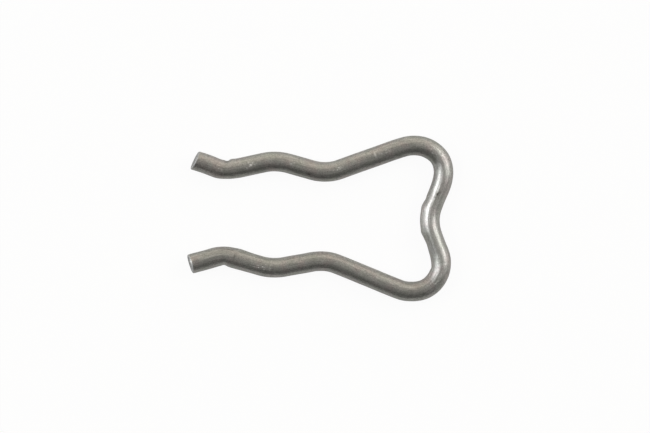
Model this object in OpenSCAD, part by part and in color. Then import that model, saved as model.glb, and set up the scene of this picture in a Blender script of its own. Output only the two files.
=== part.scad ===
// Fuel line spring clip: one round spring wire bent flat, from the lower tip round the bridge to the upper tip.
// The axis of the line it grips is the Z axis, the closed end points along +X, and the wire lies on z = 0.

/* [Wire] */
// Diameter of the spring wire
wire_d = 2; // [1.4:0.1:2.6]

/* [Line seat] */
// Gap between the two seat arcs, which the line is pressed into
seat_gap = 8.8; // [7:0.1:11]
// Turn of each seat arc to either side of its middle
seat_wrap = 14; // [9:0.5:20]

/* [Mouth] */
// Straight run from a seat arc to its mouth bend
mouth_flank = 3.2; // [2:0.1:5]
// Inside radius of the mouth bends
mouth_bend_r = 2; // [1:0.1:4]
// Outward slope of the straight tips
tip_flare = 18; // [8:0.5:32]
// Length of the straight upper tip along its middle
upper_tip_l = 2.35; // [1.5:0.05:5]
// Length of the straight lower tip along its middle
lower_tip_l = 2.5; // [1.5:0.05:5]
// Slant of the cut across the upper tip, which leaves its outer side shorter
upper_cut = 5.5; // [0:0.5:14]
// Slant of the cut across the lower tip, which leaves its outer side shorter
lower_cut = 1; // [0:0.5:14]
// Rake of both cuts, which turns their faces slightly upwards
cut_rake = 7; // [0:0.5:14]
// Width of the broken edge round each cut
edge_break = 0.2; // [0.05:0.01:0.3]

/* [Neck and legs] */
// Straight run from a seat arc to its neck bend
neck_flank = 2.4; // [1:0.1:4]
// Inside radius of the neck bends
neck_bend_r = 3.8; // [2.5:0.1:6]
// Straight length of the legs, from neck bend to shoulder
leg_l = 7; // [4:0.1:12]

/* [Bridge] */
// Inside radius of the shoulder bends at the closed end
shoulder_bend_r = 2; // [1.2:0.1:3.5]
// Straight run from a shoulder to the dip in the bridge
bridge_l = 2.1; // [1:0.1:4]
// Inside radius of the dip
dip_bend_r = 2.8; // [1.5:0.1:5]
// Slope of the bridge runs towards the dip
dip_angle = 22; // [12:0.5:32]

/* [Hidden] */
$fn = 96;
steel = [0.56, 0.55, 0.52];

wire_r = wire_d / 2;

// Bend radii at the middle of the wire
mouth_R = mouth_bend_r + wire_r;
seat_R = seat_gap / 2 + wire_r;
neck_R = neck_bend_r + wire_r;
shoulder_R = shoulder_bend_r + wire_r;
dip_R = dip_bend_r + wire_r;

// Centre of the upper mouth bend, a flank's length out from the seat arc's end
mouth_reach = seat_R + mouth_R;
mouth_x = -mouth_reach * sin(seat_wrap) - mouth_flank * cos(seat_wrap);
mouth_y = mouth_reach * cos(seat_wrap) - mouth_flank * sin(seat_wrap);

// Start of the straight lower tip, where its mouth bend ends
tip_x = mouth_x - mouth_R * sin(tip_flare);
tip_y = mouth_R * cos(tip_flare) - mouth_y;

// Heights of the neck and shoulder bends' centres above the middle line, and how far apart these lie
neck_y = (seat_R + neck_R) * cos(seat_wrap) - neck_flank * sin(seat_wrap);
shoulder_y = (dip_R + shoulder_R) * sin(dip_angle) + bridge_l * cos(dip_angle);
leg_rise = shoulder_y - neck_y;
leg_reach = sqrt((neck_R + shoulder_R) ^ 2 + leg_l ^ 2 - leg_rise ^ 2);

// The legs cross from the inside of the neck bends to the outside of the shoulders
leg_slope = atan2(leg_rise, leg_reach) + atan2(neck_R + shoulder_R, leg_l);

mouth_turn = tip_flare + seat_wrap;
seat_turn = 2 * seat_wrap;
neck_turn = seat_wrap + leg_slope;
shoulder_turn = 90 + leg_slope + dip_angle;
dip_turn = 2 * dip_angle;

// Half a bend runs this many degrees past the middle, where the other half overlaps it
lap = 1;

// Largest nudge of a turn in degrees, and the number of steps tried to either side
nudge = 0.005;
nudge_steps = 200;

// A number kept to six figures
function six(v) = v == 0 ? 0 : let (place = 10 ^ (5 - floor(log(abs(v))))) round(v * place) / place;

// How far a turn's direction is from unit length once its sine and cosine have six figures
function off_unit(turn) = abs(six(cos(turn)) ^ 2 + six(sin(turn)) ^ 2 - 1);

// The turn nudged to where its direction is truest, so that the two halves of a bend fall on one ring
function true_turn(turn) =
    let (tries = [for (k = [-nudge_steps:nudge_steps]) turn + k * nudge / nudge_steps])
    let (errors = [for (t = tries) off_unit(t)])
    tries[search(min(errors), errors)[0]];

// The wire is drawn along +X, and each step hands its far end on to the next
module run(length) {
    rotate([0, 90, 0]) cylinder(d = wire_d, h = length);
    translate([length, 0, 0]) children();
}

module arc(from, sweep, radius) {
    rotate_extrude(angle = sweep, start = from) translate([radius, 0]) circle(d = wire_d);
}

// One half of a bend is drawn from the run before it and the other from the run after it
module bend(turn, radius) {
    left = turn > 0;
    half = ceil(abs(turn) / 2) + lap;
    centre = [0, left ? radius : -radius, 0];
    translate(centre) {
        arc(left ? -90 : 90 - half, half, radius);
        rotate([0, 0, true_turn(turn)]) {
            arc(left ? -90 - half : 90, half, radius);
            translate(-centre) children();
        }
    }
}

// Straight tip, cut across at a slant and a rake with its edge broken by a cone
module tip(length, slant) {
    face_r = wire_r - edge_break;
    intersection() {
        rotate([0, 90, 0]) cylinder(d = wire_d, h = length + wire_d);
        translate([length, 0, 0])
            rotate([0, -cut_rake, slant])
                rotate([0, -90, 0])
                    cylinder(r1 = face_r, r2 = face_r + 2 * length, h = 2 * length);
    }
}

module spring_clip() {
    color(steel)
        translate([tip_x, tip_y, wire_r])
            rotate([0, 0, tip_flare]) {
                rotate([0, 0, 180]) tip(lower_tip_l, lower_cut);
                bend(-mouth_turn, mouth_R)
                run(mouth_flank)
                bend(seat_turn, seat_R)
                run(neck_flank)
                bend(-neck_turn, neck_R)
                run(leg_l)
                bend(shoulder_turn, shoulder_R)
                run(bridge_l)
                bend(-dip_turn, dip_R)
                run(bridge_l)
                bend(shoulder_turn, shoulder_R)
                run(leg_l)
                bend(-neck_turn, neck_R)
                run(neck_flank)
                bend(seat_turn, seat_R)
                run(mouth_flank)
                bend(-mouth_turn, mouth_R)
                tip(upper_tip_l, -upper_cut);
            }
}

spring_clip();
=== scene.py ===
"""Fuel line spring clip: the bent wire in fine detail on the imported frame, on a white studio floor."""
import math
from collections import namedtuple

import bpy
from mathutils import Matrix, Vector, noise


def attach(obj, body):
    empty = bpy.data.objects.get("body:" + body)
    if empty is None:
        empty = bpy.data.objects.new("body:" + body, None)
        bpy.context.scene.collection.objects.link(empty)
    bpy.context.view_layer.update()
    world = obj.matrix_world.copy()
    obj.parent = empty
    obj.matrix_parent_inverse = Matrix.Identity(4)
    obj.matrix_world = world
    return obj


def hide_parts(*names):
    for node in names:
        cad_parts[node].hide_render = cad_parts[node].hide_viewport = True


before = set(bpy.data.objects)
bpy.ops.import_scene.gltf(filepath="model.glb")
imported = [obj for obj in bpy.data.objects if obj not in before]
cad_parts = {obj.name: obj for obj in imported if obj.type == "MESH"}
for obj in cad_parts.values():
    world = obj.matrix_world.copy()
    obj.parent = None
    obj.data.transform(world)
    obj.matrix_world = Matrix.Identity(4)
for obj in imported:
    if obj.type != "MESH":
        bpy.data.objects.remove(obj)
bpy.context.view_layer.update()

MM = 0.001

# Sizes of the wire form in millimetres and degrees, the same as in the part's source
WIRE_R = 1.0
SEAT_GAP = 8.8
SEAT_WRAP = 14
MOUTH_FLANK = 3.2
MOUTH_BEND_R = 2.0
TIP_FLARE = 18
UPPER_TIP_L = 2.35
LOWER_TIP_L = 2.5
UPPER_CUT = 5.5
LOWER_CUT = 1
CUT_RAKE = 7
NECK_FLANK = 2.4
NECK_BEND_R = 3.8
LEG_L = 7.0
SHOULDER_BEND_R = 2.0
BRIDGE_L = 2.1
DIP_BEND_R = 2.8
DIP_ANGLE = 22

# Mesh fineness: rings along the wire in millimetres, and points round each ring
RING_STEP = 0.06
SIDES = 72
ANGLES = [2 * math.pi * k / SIDES for k in range(SIDES)]

# Unevenness of the drawn wire: its depth in millimetres, and its fineness round the wire and along it
RIPPLE_DEPTH = 0.006
RIPPLE_ROUND = 2.0
RIPPLE_ALONG = 0.8

# Cut ends in millimetres: the rounded rims and their rings, the rings across a face,
# and how far back along the wire a slant reaches
UPPER_RIM_R = 0.13
LOWER_RIM_R = 0.17
RIM_RINGS = 7
FACE_RINGS = 9
SLANT_REACH = 1.2

# Share of a rim, from its outer side, over which drawn steel gives way to bare cut metal
RIM_FADE = 0.25

# How far wear on the rim of a cut reaches in over its face, in millimetres
RIM_WEAR_REACH = 0.45

# Photograph: its width in pixels, its scale in the plane of the wire's middle, the point under its middle
# in millimetres, its turn in degrees, and the camera's height over that plane in millimetres
PHOTO_W = 650
PIXELS_PER_MM = 9.83
VIEW_X, VIEW_Y = 5.149, -0.041
VIEW_ROLL = 1.696
CAMERA_HEIGHT = 600

# How far the camera sees, and half the floor's side, in metres
CAMERA_REACH = 20.0
FLOOR_HALF = 3.0

# Floor: its colour in the light, and the shares of plain white as the camera and the metal see it
FLOOR_COLOUR = (0.85, 0.85, 0.845)
FLOOR_WHITE = 0.94
FLOOR_WHITE_IN_METAL = 0.06

# Room light by its direction, from the near side (-Y) at 0 to the far side (+Y) at 1, and its strength
ROOM_STRENGTH = 1.25
ROOM_LIGHT = (
    (0.0, (0.05, 0.049, 0.046)),
    (0.2, (0.12, 0.117, 0.109)),
    (0.35, (0.25, 0.244, 0.227)),
    (0.48, (0.365, 0.355, 0.33)),
    (0.65, (0.32, 0.306, 0.276)),
    (0.8, (0.56, 0.525, 0.457)),
    (0.92, (0.94, 0.872, 0.752)),
)

# Soft rectangular lamps: direction from the clip, width and height in metres, brightness as seen, colour
LAMP_DISTANCE = 0.5
Lamp = namedtuple("Lamp", "name direction width height radiance colour")
LAMPS = (
    Lamp("left_softbox", (-0.665, 0.118, 0.737), 0.28, 0.24, 4.2, (0.975, 0.985, 1.0)),
    Lamp("left_fill", (-0.99, 0.1, 0.06), 0.6, 0.06, 2.4, (0.93, 0.965, 1.0)),
    Lamp("right_softbox", (0.73, 0.34, 0.595), 0.4, 0.26, 3.1, (1.0, 0.984, 0.95)),
    Lamp("right_fill", (0.6, -0.33, 0.73), 0.4, 0.24, 0.2, (1.0, 0.985, 0.955)),
)

# Patterns over the unbent wire: cells a millimetre, layers of detail, and stretch across, up and along it
Pattern = namedtuple("Pattern", "scale detail stretch")
EVEN = (1.0, 1.0, 1.0)
PATCHES = Pattern(0.8, 2.0, EVEN)
BLOTCHES = Pattern(2.2, 2.0, EVEN)
DRAWING_LINES = Pattern(8.0, 4.0, (1.0, 1.0, 0.05))
GRAIN = Pattern(13.0, 2.0, (1.0, 1.0, 0.6))
CUT_SCORES = Pattern(7.0, 2.0, (1.0, 0.08, 0.0))

# Round spots: cells a millimetre, radius in cells, and the share of cells that have one.
# From the core, a share of its radius, a spot fades out to its edge.
Spots = namedtuple("Spots", "scale radius share")
FLECKS = Spots(6.0, 0.42, 0.5)
PITS = Spots(5.3, 0.26, 0.12)
SPOT_CORE = 0.6

# Hues of the patches, and colours of what lies on the steel
PATCH_HUES = (
    (0.32, (0.463, 0.476, 0.45)),
    (0.5, (0.487, 0.487, 0.476)),
    (0.68, (0.508, 0.476, 0.468)),
)
PIT_COLOUR = (0.19, 0.187, 0.176)
# the scale's colour also serves as painted shade in dents and beside a highlight
SCALE_AND_SHADE_COLOUR = (0.095, 0.092, 0.084)
FLECK_AND_GLINT_COLOUR = (0.76, 0.755, 0.74)
SCRAPED_AND_GLINT_COLOUR = (0.85, 0.85, 0.84)

# Colours of the torn and of the smooth band on a cut face, and where the one gives way to the other
TORN_COLOURS = ((0.35, (0.32, 0.326, 0.335)), (0.65, (0.45, 0.456, 0.466)))
SMOOTH_COLOURS = ((0.35, (0.4, 0.409, 0.422)), (0.65, (0.5, 0.509, 0.524)))
TORN_TO_SMOOTH = ((0.42, 0.0), (0.55, 1.0))
BAND_SLOPE = 0.6

# How the patterns darken and lighten the steel's colour, from a pattern's value to a factor
BLOTCH_SHADE = ((0.3, 0.93), (0.7, 1.05))
LINE_SHADE = ((0.3, 0.8), (0.65, 1.1))
LINE_SHARE = 0.8
GRAIN_SHADE = ((0.3, 0.66), (0.5, 1.0), (0.7, 1.26))
# painted sheen: the burnished bridge is lighter in colour than the rest of the wire
BURNISH_AND_SHEEN_SHADE = ((0.0, 0.815), (1.0, 1.005))

# Roughness of the drawn steel by its blotches, and of burnished, cut and scraped metal
BLOTCH_ROUGH = ((0.3, 0.35), (0.7, 0.39))
BURNISHED_ROUGH = 0.285
CUT_ROUGH = 0.58
SCRAPED_ROUGH = 0.34

# Fine relief: depths in millimetres, strength, and the share of grain in it beside the drawing lines
LINE_DEPTH = 0.04
FLECK_DEPTH = 0.03
RELIEF_STRENGTH = 0.8
GRAIN_SHARE = 0.35

# Sheen of drawn wire, stretched across the drawing lines, and its tint at grazing angles
ANISOTROPY = 0.6
EDGE_TINT = (0.75, 0.75, 0.75)

# A bend or shift of the formed wire away from its nominal path: its place along the wire, its reach
# and its shift to the inner side, in millimetres
Stray = namedtuple("Stray", "s reach shift")
STRAYS = (
    Stray(1.9, 1.1, -0.045),
    Stray(5.2, 1.2, 0.03),
    Stray(12.6, 1.9, -0.105),
    Stray(23.5, 1.1, 0.085),
    Stray(36.9, 0.9, 0.075),
    Stray(39.3, 1.0, -0.06),
    Stray(42.3, 1.0, 0.05),
    Stray(44.6, 1.4, -0.03),
    Stray(50.8, 1.8, 0.038),
    Stray(62.0, 0.7, -0.02),
    Stray(64.3, 1.4, -0.08),
)

# A mark on the wire: its place along it in millimetres from the lower tip's end, its angle round it in
# degrees (0 inner side, 90 top, 180 outer side), its half length and half width, and its amount.
# Past so many half lengths it has faded out.
Mark = namedtuple("Mark", "s around length width amount")
MARK_REACH = 3

# Marks pressed into the wire, with their depth for amount, negative where metal stands proud
DENTS = (
    # pinched upper mouth bend, with a step on its outer side
    Mark(61.35, 180, 0.3, 0.9, -0.06),
    Mark(61.95, 180, 0.36, 0.9, 0.085),
    Mark(62.1, 0, 0.8, 1.0, 0.075),
    # crease in the lower mouth bend and the fuller flank after it
    Mark(3.7, 180, 0.42, 0.9, 0.105),
    Mark(3.2, 0, 0.6, 1.0, 0.035),
    Mark(5.0, 0, 0.85, 1.0, -0.07),
    Mark(5.0, 180, 1.0, 0.8, -0.03),
    # corners and flats that the bending pin left round the dip
    Mark(30.5, 0, 0.7, 0.75, 0.085),
    Mark(30.6, 180, 1.1, 0.9, 0.05),
    Mark(31.75, 0, 0.25, 0.6, -0.05),
    Mark(33.85, 0, 0.28, 0.9, -0.055),
    Mark(34.6, 0, 0.28, 0.9, 0.05),
    Mark(35.2, 180, 0.8, 0.9, 0.05),
    # pressed inner sides of the shoulders
    Mark(27.5, 0, 0.35, 0.9, 0.05),
    Mark(28.8, 0, 0.5, 0.9, -0.035),
    Mark(39.4, 0, 0.9, 0.9, 0.03),
    # tool marks across the top of the wire
    Mark(11.9, 90, 0.07, 0.4, 0.012),
    Mark(12.25, 100, 0.07, 0.4, 0.012),
    Mark(12.65, 90, 0.07, 0.4, 0.01),
    Mark(18.7, 92, 0.07, 0.5, 0.01),
    Mark(28.2, 105, 0.07, 0.4, 0.012),
    Mark(46.4, 100, 0.07, 0.35, -0.014),
    Mark(46.9, 95, 0.07, 0.5, 0.01),
    Mark(47.35, 90, 0.07, 0.6, 0.01),
    Mark(57.7, 108, 0.07, 0.6, 0.018),
    Mark(58.0, 104, 0.07, 0.6, 0.014),
    # nick, pit and the burr on the lower cut
    Mark(4.62, 88, 0.08, 0.3, 0.02),
    Mark(35.55, 90, 0.12, 0.12, 0.02),
    Mark(0.12, 72, 0.12, 0.14, -0.06),
)

# Wear by its kind, with its strength for amount
WEAR = {
    # places with bright flecks, their light colour partly a painted glint
    "flecked": (
        Mark(7.3, 98, 0.5, 0.25, 0.8),
        Mark(8.1, 101, 0.6, 0.25, 0.6),
        Mark(26.2, 104, 1.3, 0.35, 0.4),
        Mark(40.8, 80, 1.2, 0.3, 0.7),
        Mark(45.4, 98, 0.6, 0.25, 0.7),
        Mark(50.6, 95, 0.5, 0.25, 0.7),
        Mark(55.4, 91, 0.6, 0.25, 0.8),
        Mark(59.6, 93, 0.6, 0.3, 0.6),
        Mark(62.7, 94, 0.6, 0.3, 0.3),
    ),
    # spots dark with scale, some of them painted shade: in the nick, round the pit, in the dimple beside
    # the notch and at the end of the upper shoulder's inner highlight
    "scaled": (
        Mark(0.75, 80, 0.3, 0.3, 0.25),
        # painted shade in the nick
        Mark(4.62, 84, 0.09, 0.24, 0.75),
        Mark(8.7, 102, 0.13, 0.1, 0.4),
        Mark(23.4, 84, 0.14, 0.1, 0.4),
        Mark(24.1, 55, 0.6, 0.35, 0.2),
        Mark(24.2, 74, 0.16, 0.1, 0.45),
        # darkens the bridge's inner highlight here
        Mark(35.0, 66, 0.45, 0.35, 0.36),
        # painted shade in and round the pit
        Mark(35.1, 82, 0.1, 0.09, 0.7),
        Mark(35.5, 88, 0.17, 0.13, 1.0),
        Mark(35.75, 97, 0.12, 0.1, 0.7),
        Mark(38.4, 55, 0.5, 0.35, 0.25),
        # partly painted shade, ending the upper shoulder's inner highlight sharply
        Mark(39.0, 60, 0.6, 0.4, 0.34),
        Mark(40.3, 72, 1.1, 0.3, 0.2),
        Mark(45.55, 97, 0.12, 0.1, 0.4),
        Mark(53.35, 60, 0.22, 0.12, 0.75),
        Mark(59.3, 84, 0.1, 0.1, 0.4),
        # painted shade in the dimple beside the notch
        Mark(62.05, 148, 0.3, 0.2, 0.5),
        Mark(62.4, 95, 0.12, 0.1, 0.4),
    ),
    # spots and streaks scraped bare, their light colour partly painted glints, as the painted highlight
    # on the burr of the lower cut
    "scraped_and_glint": (
        # painted highlight on the burr of the lower cut
        Mark(0.06, 78, 0.12, 0.22, 1.0),
        Mark(2.4, 78, 1.4, 0.08, 0.4),
        Mark(13.8, 90, 0.1, 0.08, 0.4),
        Mark(19.6, 72, 0.14, 0.08, 0.4),
        Mark(23.3, 66, 0.8, 0.08, 0.35),
        Mark(23.7, 77, 0.8, 0.07, 0.3),
        Mark(43.2, 80, 0.3, 0.07, 0.3),
        Mark(45.3, 90, 0.09, 0.08, 0.55),
        Mark(46.45, 100, 0.08, 0.28, 0.7),
        Mark(55.4, 90, 0.09, 0.08, 0.5),
        Mark(59.55, 91, 0.1, 0.09, 1.0),
        Mark(59.7, 109, 0.08, 0.08, 0.6),
        Mark(60.0, 78, 0.1, 0.09, 0.8),
        Mark(62.55, 84, 0.09, 0.08, 0.6),
    ),
    # the bridge, rubbed smoother and lighter by the bending pins, its lighter colour partly a painted
    # sheen where it catches the softboxes
    "burnished_and_sheen": (
        Mark(27.6, 68, 0.8, 0.5, 0.4),
        Mark(30.5, 100, 1.6, 0.8, 0.3),
        Mark(31.2, 64, 0.6, 0.4, 0.9),
        Mark(34.6, 80, 2.6, 1.6, 1.0),
    ),
}

# A place on the wire's middle: its length from the lower tip, its point and its heading
Place = namedtuple("Place", "s x y heading")

# A ring of the mesh: its length from the lower tip, the place it is set out from, its inset from
# the wire's surface, and its share of bare cut metal
Ring = namedtuple("Ring", "s place inset bare")

# Colour sockets of the Mix node
MIX_A, MIX_B, MIX_RESULT = 6, 7, 2


def smooth(t):
    """Eases from 0 to 1."""
    t = min(max(t, 0.0), 1.0)
    return t * t * (3 - 2 * t)


def wire_steps():
    """The runs and bends from the lower tip to the upper one, and the wire's start and heading there.

    A step is the length of a run, or the turn and radius of a bend."""
    mouth, seat, neck, shoulder, dip = (
        r + WIRE_R for r in (MOUTH_BEND_R, SEAT_GAP / 2, NECK_BEND_R, SHOULDER_BEND_R, DIP_BEND_R)
    )
    wrap, flare, dip_slope = (math.radians(a) for a in (SEAT_WRAP, TIP_FLARE, DIP_ANGLE))
    mouth_x = -(seat + mouth) * math.sin(wrap) - MOUTH_FLANK * math.cos(wrap)
    mouth_y = (seat + mouth) * math.cos(wrap) - MOUTH_FLANK * math.sin(wrap)
    neck_y = (seat + neck) * math.cos(wrap) - NECK_FLANK * math.sin(wrap)
    shoulder_y = (dip + shoulder) * math.sin(dip_slope) + BRIDGE_L * math.cos(dip_slope)
    rise = shoulder_y - neck_y
    reach = math.sqrt((neck + shoulder) ** 2 + LEG_L**2 - rise**2)
    slope = math.atan2(rise, reach) + math.atan2(neck + shoulder, LEG_L)
    half = [
        (0, -(flare + wrap), mouth),
        (MOUTH_FLANK, 0, 0),
        (0, 2 * wrap, seat),
        (NECK_FLANK, 0, 0),
        (0, -(wrap + slope), neck),
        (LEG_L, 0, 0),
        (0, math.pi / 2 + slope + dip_slope, shoulder),
        (BRIDGE_L, 0, 0),
    ]
    steps = [(LOWER_TIP_L, 0, 0), *half, (0, -2 * dip_slope, dip), *half[::-1], (UPPER_TIP_L, 0, 0)]
    start_x = mouth_x - mouth * math.sin(flare) - LOWER_TIP_L * math.cos(flare)
    start_y = mouth * math.cos(flare) - mouth_y - LOWER_TIP_L * math.sin(flare)
    return steps, start_x, start_y, flare


def wire_places():
    """Places along the wire's middle, a ring's step or less apart."""
    steps, x, y, heading = wire_steps()
    places = []
    s = 0.0
    for length, turn, radius in steps:
        span = length or abs(turn) * radius
        count = math.ceil(span / RING_STEP)
        step = span / count
        bend = turn / count
        chord = 2 * radius * math.sin(abs(bend) / 2) if turn else step
        for _ in range(count):
            places.append(Place(s, x, y, heading))
            x += chord * math.cos(heading + bend / 2)
            y += chord * math.sin(heading + bend / 2)
            heading += bend
            s += step
    places.append(Place(s, x, y, heading))
    return places


def cut_profile(rim):
    """The rings of a cut end: inset from the wire's surface, depth behind the face, share of bare cut."""
    profile = []
    for k in range(1, RIM_RINGS + 1):
        a = math.pi / 2 * k / RIM_RINGS
        bare = min(k / RIM_RINGS / RIM_FADE, 1.0)
        profile.append((rim * (1 - math.cos(a)), rim * (1 - math.sin(a)), bare))
    for k in range(1, FACE_RINGS + 1):
        profile.append((rim + (WIRE_R - rim) * k / (FACE_RINGS + 1), 0.0, 1.0))
    return profile


def wire_rings():
    """All rings of the mesh, from the lower cut face to the upper one."""
    places = wire_places()
    first, last = places[0], places[-1]
    rings = []
    for inset, depth, bare in reversed(cut_profile(LOWER_RIM_R)):
        rings.append(Ring(depth, first, inset, bare))
    for place in places:
        if LOWER_RIM_R < place.s < last.s - UPPER_RIM_R:
            rings.append(Ring(place.s, place, 0.0, 0.0))
    for inset, depth, bare in cut_profile(UPPER_RIM_R):
        rings.append(Ring(last.s - depth, last, inset, bare))
    return rings


def stray(s):
    """How far the formed wire lies to the inner side of its nominal path."""
    return sum(b.shift * math.exp(-(((s - b.s) / b.reach) ** 2)) for b in STRAYS)


def near(s, marks):
    """The marks that reach a place along the wire."""
    return [m for m in marks if abs(s - m.s) < MARK_REACH * m.length]


def marked(s, angle, marks):
    """The marks' amounts at a point of the surface, added up."""
    total = 0.0
    for m in marks:
        away = (angle - math.radians(m.around) + math.pi) % (2 * math.pi) - math.pi
        total += m.amount * math.exp(-(((s - m.s) / m.length) ** 2) - (away * WIRE_R / m.width) ** 2)
    return total


def ripple(s, angle):
    """Slight unevenness of the drawn wire."""
    across = RIPPLE_ROUND * math.cos(angle)
    up = RIPPLE_ROUND * math.sin(angle)
    return RIPPLE_DEPTH * noise.noise(Vector((across, up, RIPPLE_ALONG * s)))


def cut_shift(slant, across, up):
    """How far a point of a cut end lies behind the middle of the cut."""
    return up * math.tan(math.radians(CUT_RAKE)) - across * math.tan(math.radians(slant))


def ring_points(ring, length):
    """A ring's points in metres, and their places across, up and along the unbent wire in millimetres."""
    place = ring.place
    forward = (math.cos(place.heading), math.sin(place.heading))
    inner = (-math.sin(place.heading), math.cos(place.heading))
    shift = stray(ring.s)
    dents = near(ring.s, DENTS)
    lower_part = smooth(1 - ring.s / SLANT_REACH)
    upper_part = smooth(1 - (length - ring.s) / SLANT_REACH)
    points = []
    unbent = []
    for angle in ANGLES:
        r = WIRE_R + ripple(ring.s, angle) - marked(ring.s, angle, dents) - ring.inset
        across = r * math.cos(angle)
        up = r * math.sin(angle)
        side = across + shift
        along = ring.s - place.s
        along += lower_part * cut_shift(LOWER_CUT, across, up)
        along -= upper_part * cut_shift(UPPER_CUT, across, up)
        x = place.x + along * forward[0] + side * inner[0]
        y = place.y + along * forward[1] + side * inner[1]
        points.append((x * MM, y * MM, (WIRE_R + up) * MM))
        unbent.append((across, up, ring.s))
    return points, unbent


def ring_wear(ring, marks):
    """The strength of one kind of wear at a ring's points."""
    reached = near(ring.s, marks)
    worn = smooth(1 - ring.inset / RIM_WEAR_REACH)
    return [worn * marked(ring.s, angle, reached) for angle in ANGLES]


def wire_faces(rings, unbent):
    """The faces, wound outwards, and their corners on the UV map: round the wire and along it."""
    faces = []
    corners = []
    for number, (ring, following) in enumerate(zip(rings, rings[1:])):
        low = number * SIDES
        high = low + SIDES
        for k in range(SIDES):
            j = (k + 1) % SIDES
            faces.append((low + k, low + j, high + j, high + k))
            corners += [(k, ring.s), (k + 1, ring.s), (k + 1, following.s), (k, following.s)]
    top = (len(rings) - 1) * SIDES
    for cap in (tuple(reversed(range(SIDES))), tuple(range(top, top + SIDES))):
        faces.append(cap)
        corners += [unbent[v][:2] for v in cap]
    return faces, corners


def flat(rows):
    """The numbers of all rows in one list."""
    return [number for row in rows for number in row]


def wire_mesh():
    """The wire as one closed mesh, with its unbent places, its cut faces and its wear as attributes."""
    rings = wire_rings()
    length = rings[-1].place.s
    verts = []
    unbent = []
    for ring in rings:
        ring_verts, ring_unbent = ring_points(ring, length)
        verts += ring_verts
        unbent += ring_unbent
    masks = {"on_cut": flat([ring.bare] * SIDES for ring in rings)}
    for kind, marks in WEAR.items():
        masks[kind] = flat(ring_wear(ring, marks) for ring in rings)
    faces, corners = wire_faces(rings, unbent)

    mesh = bpy.data.meshes.new("spring_clip_wire")
    mesh.from_pydata(verts, [], faces)
    mesh.validate()
    mesh.polygons.foreach_set("use_smooth", [True] * len(mesh.polygons))
    around = mesh.uv_layers.new(name="around")
    around.uv.foreach_set("vector", flat(corners))
    layer = mesh.attributes.new("unbent", "FLOAT_VECTOR", "POINT")
    layer.data.foreach_set("vector", flat(unbent))
    for name, values in masks.items():
        mesh.attributes.new(name, "FLOAT", "POINT").data.foreach_set("value", values)
    mesh.update()
    return mesh


def add_node(tree, kind, x, y, **settings):
    """A node at its place in the node editor, with its settings."""
    node = tree.nodes.new(kind)
    node.location = (x, y)
    for name, value in settings.items():
        setattr(node, name, value)
    return node


def attribute(tree, name, y):
    """The node that reads a mesh attribute."""
    return add_node(tree, "ShaderNodeAttribute", -1400, y, attribute_name=name)


def pattern_value(tree, vector, pattern, y):
    """Noise over the unbent wire."""
    mapping = add_node(tree, "ShaderNodeMapping", -1100, y)
    mapping.inputs["Scale"].default_value = pattern.stretch
    tree.links.new(vector, mapping.inputs["Vector"])
    cells = add_node(tree, "ShaderNodeTexNoise", -900, y)
    cells.inputs["Scale"].default_value = pattern.scale
    cells.inputs["Detail"].default_value = pattern.detail
    tree.links.new(mapping.outputs["Vector"], cells.inputs["Vector"])
    return cells.outputs["Fac"]


def ramp(tree, value, x, y, stops):
    """A colour ramp with the given places and colours."""
    node = add_node(tree, "ShaderNodeValToRGB", x, y)
    band = node.color_ramp
    while len(band.elements) < len(stops):
        band.elements.new(0.5)
    for element, (place, colour) in zip(band.elements, stops):
        element.position = place
        element.color = (*colour, 1.0)
    tree.links.new(value, node.inputs["Fac"])
    return node.outputs["Color"]


def grey(v):
    """A colour without hue."""
    return (v, v, v)


def grey_ramp(tree, value, x, y, stops):
    """A ramp from a value to a factor."""
    return ramp(tree, value, x, y, [(place, grey(v)) for place, v in stops])


def mix_colour(tree, factor, a, b, x, y, blend="MIX"):
    """Two colours mixed. Factor and colours are sockets, or constants."""
    node = add_node(tree, "ShaderNodeMix", x, y, data_type="RGBA", blend_type=blend)
    given = ((node.inputs["Factor"], factor), (node.inputs[MIX_A], a), (node.inputs[MIX_B], b))
    for socket, value in given:
        if isinstance(value, (int, float)):
            socket.default_value = value
        elif isinstance(value, tuple):
            socket.default_value = (*value, 1.0)
        else:
            tree.links.new(value, socket)
    return node.outputs[MIX_RESULT]


def multiply(tree, a, b, x, y, share=1.0):
    """One colour times another, by a share."""
    return mix_colour(tree, share, a, b, x, y, "MULTIPLY")


def spot_mask(tree, vector, spots, y):
    """Small round spots in a share of the cells of a Voronoi pattern, as a factor."""
    cells = add_node(tree, "ShaderNodeTexVoronoi", -1100, y)
    cells.inputs["Scale"].default_value = spots.scale
    tree.links.new(vector, cells.inputs["Vector"])
    fade = ((SPOT_CORE * spots.radius, 1.0), (spots.radius, 0.0))
    dot = grey_ramp(tree, cells.outputs["Distance"], -900, y, fade)
    pick = add_node(tree, "ShaderNodeSeparateColor", -900, y - 250)
    tree.links.new(cells.outputs["Color"], pick.inputs["Color"])
    keep = add_node(tree, "ShaderNodeMath", -700, y - 250, operation="GREATER_THAN")
    keep.inputs[1].default_value = 1.0 - spots.share
    tree.links.new(pick.outputs["Red"], keep.inputs[0])
    return multiply(tree, dot, keep.outputs[0], -500, y)


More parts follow.
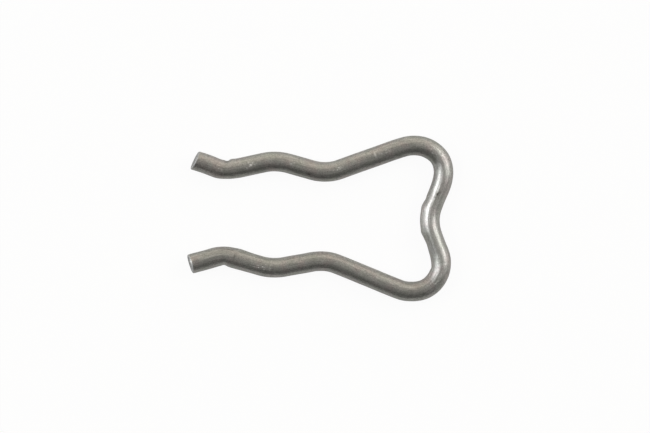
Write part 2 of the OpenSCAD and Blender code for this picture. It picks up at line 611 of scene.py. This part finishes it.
def cut_look(tree, vector, grain):
    """Colour and relief of a sheared end: a smooth scored band above and a torn grainy one below."""
    place = add_node(tree, "ShaderNodeSeparateXYZ", -900, -1700)
    tree.links.new(vector, place.inputs[0])
    uneven = add_node(tree, "ShaderNodeMath", -700, -1700, operation="MULTIPLY_ADD")
    uneven.inputs[1].default_value = BAND_SLOPE
    tree.links.new(place.outputs["Y"], uneven.inputs[0])
    tree.links.new(grain, uneven.inputs[2])
    smooth_part = grey_ramp(tree, uneven.outputs[0], -500, -1700, TORN_TO_SMOOTH)
    scores = pattern_value(tree, vector, CUT_SCORES, -1900)
    torn_colour = ramp(tree, grain, -300, -1700, TORN_COLOURS)
    smooth_colour = ramp(tree, scores, -300, -1900, SMOOTH_COLOURS)
    colour = mix_colour(tree, smooth_part, torn_colour, smooth_colour, 0, -1700)
    relief = mix_colour(tree, smooth_part, grain, scores, 0, -1900)
    return colour, relief


def steel_colour(tree, vector, masks, blotches, lines, grain):
    """Colour of the drawn wire: patches of slightly different hue, shaded by finer patterns and wear,
    with a painted sheen on the bridge and painted shade in some dark spots.
    """
    patches = pattern_value(tree, vector, PATCHES, 600)
    pits = spot_mask(tree, vector, PITS, -900)
    colour = ramp(tree, patches, -600, 600, PATCH_HUES)
    shade = grey_ramp(tree, blotches, -600, 400, BLOTCH_SHADE)
    colour = multiply(tree, colour, shade, -350, 500)
    shade = grey_ramp(tree, lines, -600, 200, LINE_SHADE)
    colour = multiply(tree, colour, shade, -150, 450, LINE_SHARE)
    shade = grey_ramp(tree, grain, -600, 0, GRAIN_SHADE)
    colour = multiply(tree, colour, shade, 0, 430)
    # painted sheen on the bridge, where it catches the softboxes
    shade = grey_ramp(tree, masks["burnished_and_sheen"], -150, 700, BURNISH_AND_SHEEN_SHADE)
    colour = multiply(tree, colour, shade, 75, 560)
    colour = mix_colour(tree, pits, colour, PIT_COLOUR, 150, 400)
    # dark scale, and painted shade in the nick, the pit and the dimple beside the notch
    return mix_colour(tree, masks["scaled"], colour, SCALE_AND_SHADE_COLOUR, 300, 380)


def steel_roughness(tree, masks, blotches):
    """Roughness of the drawn wire, of its burnished and scraped places and of its cuts."""
    rough = grey_ramp(tree, blotches, -350, -100, BLOTCH_ROUGH)
    rough = mix_colour(tree, masks["burnished_and_sheen"], rough, grey(BURNISHED_ROUGH), 300, -100)
    rough = mix_colour(tree, masks["on_cut"], rough, grey(CUT_ROUGH), 450, -100)
    return mix_colour(tree, masks["scraped_and_glint"], rough, grey(SCRAPED_ROUGH), 600, -100)


def hollows(tree, depth, most, x, y):
    """A bump node that sinks the surface by up to the most, in millimetres, where the depth is 1."""
    node = add_node(tree, "ShaderNodeBump", x, y, invert=True)
    node.inputs["Strength"].default_value = RELIEF_STRENGTH
    node.inputs["Distance"].default_value = most * MM
    tree.links.new(depth, node.inputs["Height"])
    return node


def steel_normal(tree, masks, lines, grain, cut_relief, flecks):
    """Fine relief: drawing lines and grain, lines alone where burnished, cut ends, and sunken flecks."""
    depth = mix_colour(tree, GRAIN_SHARE, lines, grain, -500, -600)
    depth = mix_colour(tree, masks["burnished_and_sheen"], depth, lines, -325, -600)
    depth = mix_colour(tree, masks["on_cut"], depth, cut_relief, -150, -600)
    drawn = hollows(tree, depth, LINE_DEPTH, 50, -600)
    flecked = hollows(tree, flecks, FLECK_DEPTH, 250, -600)
    tree.links.new(drawn.outputs["Normal"], flecked.inputs["Normal"])
    return flecked.outputs["Normal"]


def steel_material():
    """Satin drawn spring wire with flecks, scale, scraped and burnished places, and bare cut ends; its
    colour also holds painted glints, painted shade and a painted sheen.
    """
    material = bpy.data.materials.new("spring_steel_drawn")
    material.use_nodes = True
    tree = material.node_tree
    shader = tree.nodes["Principled BSDF"]
    vector = attribute(tree, "unbent", 0).outputs["Vector"]
    rows = {"flecked": -500, "scaled": -900, "scraped_and_glint": -1150, "on_cut": -1400, "burnished_and_sheen": -1650}
    masks = {name: attribute(tree, name, y).outputs["Fac"] for name, y in rows.items()}

    blotches = pattern_value(tree, vector, BLOTCHES, 400)
    lines = pattern_value(tree, vector, DRAWING_LINES, 200)
    grain = pattern_value(tree, vector, GRAIN, 0)
    flecks = multiply(tree, spot_mask(tree, vector, FLECKS, -500), masks["flecked"], -150, -300)
    cut_colour, cut_relief = cut_look(tree, vector, grain)

    colour = steel_colour(tree, vector, masks, blotches, lines, grain)
    # flecks lighter in colour, partly painted glints
    colour = mix_colour(tree, flecks, colour, FLECK_AND_GLINT_COLOUR, 450, 350)
    colour = mix_colour(tree, masks["on_cut"], colour, cut_colour, 600, 320)
    # bare scraped metal, its light colour partly painted glints
    colour = mix_colour(tree, masks["scraped_and_glint"], colour, SCRAPED_AND_GLINT_COLOUR, 750, 300)
    rough = steel_roughness(tree, masks, blotches)
    normal = steel_normal(tree, masks, lines, grain, cut_relief, flecks)
    across = add_node(tree, "ShaderNodeTangent", 250, -900, direction_type="UV_MAP", uv_map="around")

    tree.links.new(colour, shader.inputs["Base Color"])
    tree.links.new(rough, shader.inputs["Roughness"])
    tree.links.new(normal, shader.inputs["Normal"])
    tree.links.new(across.outputs["Tangent"], shader.inputs["Tangent"])
    shader.inputs["Anisotropic"].default_value = ANISOTROPY
    shader.inputs["Metallic"].default_value = 1.0
    shader.inputs["Specular Tint"].default_value = (*EDGE_TINT, 1.0)
    return material


def floor_material():
    """Pale floor, white to the camera and a little so in the metal, that still takes a faint shadow."""
    material = bpy.data.materials.new("studio_floor")
    material.use_nodes = True
    tree = material.node_tree
    tree.nodes.remove(tree.nodes["Principled BSDF"])
    output = tree.nodes["Material Output"]
    rays = add_node(tree, "ShaderNodeLightPath", -800, 200)
    mirrored = add_node(tree, "ShaderNodeMath", -600, 100, operation="MAXIMUM")
    tree.links.new(rays.outputs["Is Glossy Ray"], mirrored.inputs[0])
    tree.links.new(rays.outputs["Is Transmission Ray"], mirrored.inputs[1])
    straight = add_node(tree, "ShaderNodeMath", -420, 250, operation="MULTIPLY")
    straight.inputs[1].default_value = FLOOR_WHITE
    tree.links.new(rays.outputs["Is Camera Ray"], straight.inputs[0])
    share = add_node(tree, "ShaderNodeMath", -240, 200, operation="MULTIPLY_ADD")
    share.inputs[1].default_value = FLOOR_WHITE_IN_METAL
    tree.links.new(mirrored.outputs[0], share.inputs[0])
    tree.links.new(straight.outputs[0], share.inputs[2])
    matt = add_node(tree, "ShaderNodeBsdfDiffuse", -240, 0)
    matt.inputs["Color"].default_value = (*FLOOR_COLOUR, 1.0)
    white = add_node(tree, "ShaderNodeEmission", -240, -150)
    white.inputs["Strength"].default_value = 1.0
    mix = add_node(tree, "ShaderNodeMixShader", 0, 100)
    tree.links.new(share.outputs[0], mix.inputs["Fac"])
    tree.links.new(matt.outputs[0], mix.inputs[1])
    tree.links.new(white.outputs[0], mix.inputs[2])
    tree.links.new(mix.outputs[0], output.inputs["Surface"])
    return material


def add_object(name, data):
    """A new object in the scene."""
    item = bpy.data.objects.new(name, data)
    bpy.context.collection.objects.link(item)
    return item


def add_camera():
    """The camera straight above the clip, at the photograph's scale and turn."""
    camera = bpy.data.cameras.new("camera")
    camera.sensor_fit = "HORIZONTAL"
    seen_width = PHOTO_W / PIXELS_PER_MM
    camera.lens = camera.sensor_width * CAMERA_HEIGHT / seen_width
    camera.clip_end = CAMERA_REACH
    eye = add_object("camera", camera)
    eye.location = Vector((VIEW_X, VIEW_Y, WIRE_R + CAMERA_HEIGHT)) * MM
    eye.rotation_euler = (0, 0, math.radians(VIEW_ROLL))
    bpy.context.scene.camera = eye


def studio_world():
    """Soft room light: warm and brighter from behind the clip, dark towards the photographer."""
    world = bpy.data.worlds.new("studio")
    bpy.context.scene.world = world
    world.use_nodes = True
    tree = world.node_tree
    background = tree.nodes["Background"]
    coords = add_node(tree, "ShaderNodeTexCoord", -900, 0)
    split = add_node(tree, "ShaderNodeSeparateXYZ", -700, 0)
    tree.links.new(coords.outputs["Generated"], split.inputs[0])
    level = add_node(tree, "ShaderNodeMapRange", -500, 0)
    level.inputs["From Min"].default_value = -1.0
    level.inputs["From Max"].default_value = 1.0
    tree.links.new(split.outputs["Y"], level.inputs["Value"])
    tree.links.new(ramp(tree, level.outputs[0], -250, 0, ROOM_LIGHT), background.inputs["Color"])
    background.inputs["Strength"].default_value = ROOM_STRENGTH


def add_softbox(lamp):
    """A soft rectangular lamp that faces the clip."""
    light = bpy.data.lights.new(lamp.name, "AREA")
    light.shape = "RECTANGLE"
    light.size = lamp.width
    light.size_y = lamp.height
    light.energy = lamp.radiance * math.pi * lamp.width * lamp.height
    light.color = lamp.colour
    box = add_object(lamp.name, light)
    target = Vector((VIEW_X, VIEW_Y, WIRE_R)) * MM
    aim = Vector(lamp.direction).normalized()
    box.location = target + aim * LAMP_DISTANCE
    box.rotation_euler = aim.to_track_quat("Z", "Y").to_euler()


def add_floor():
    """The studio floor, under the clip."""
    mesh = bpy.data.meshes.new("floor")
    corners = [(x * FLOOR_HALF, y * FLOOR_HALF, 0) for x, y in ((-1, -1), (1, -1), (1, 1), (-1, 1))]
    mesh.from_pydata(corners, [], [(0, 1, 2, 3)])
    floor = add_object("floor", mesh)
    mesh.materials.append(floor_material())


def add_clip():
    """The wire in fine detail, in the solid's place."""
    mesh = wire_mesh()
    clip = add_object("spring_clip_wire", mesh)
    mesh.materials.append(steel_material())
    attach(clip, "root")
    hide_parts("spring_clip")


bpy.context.scene.view_settings.view_transform = "Standard"
add_camera()
studio_world()
for softbox in LAMPS:
    add_softbox(softbox)
add_floor()
add_clip()
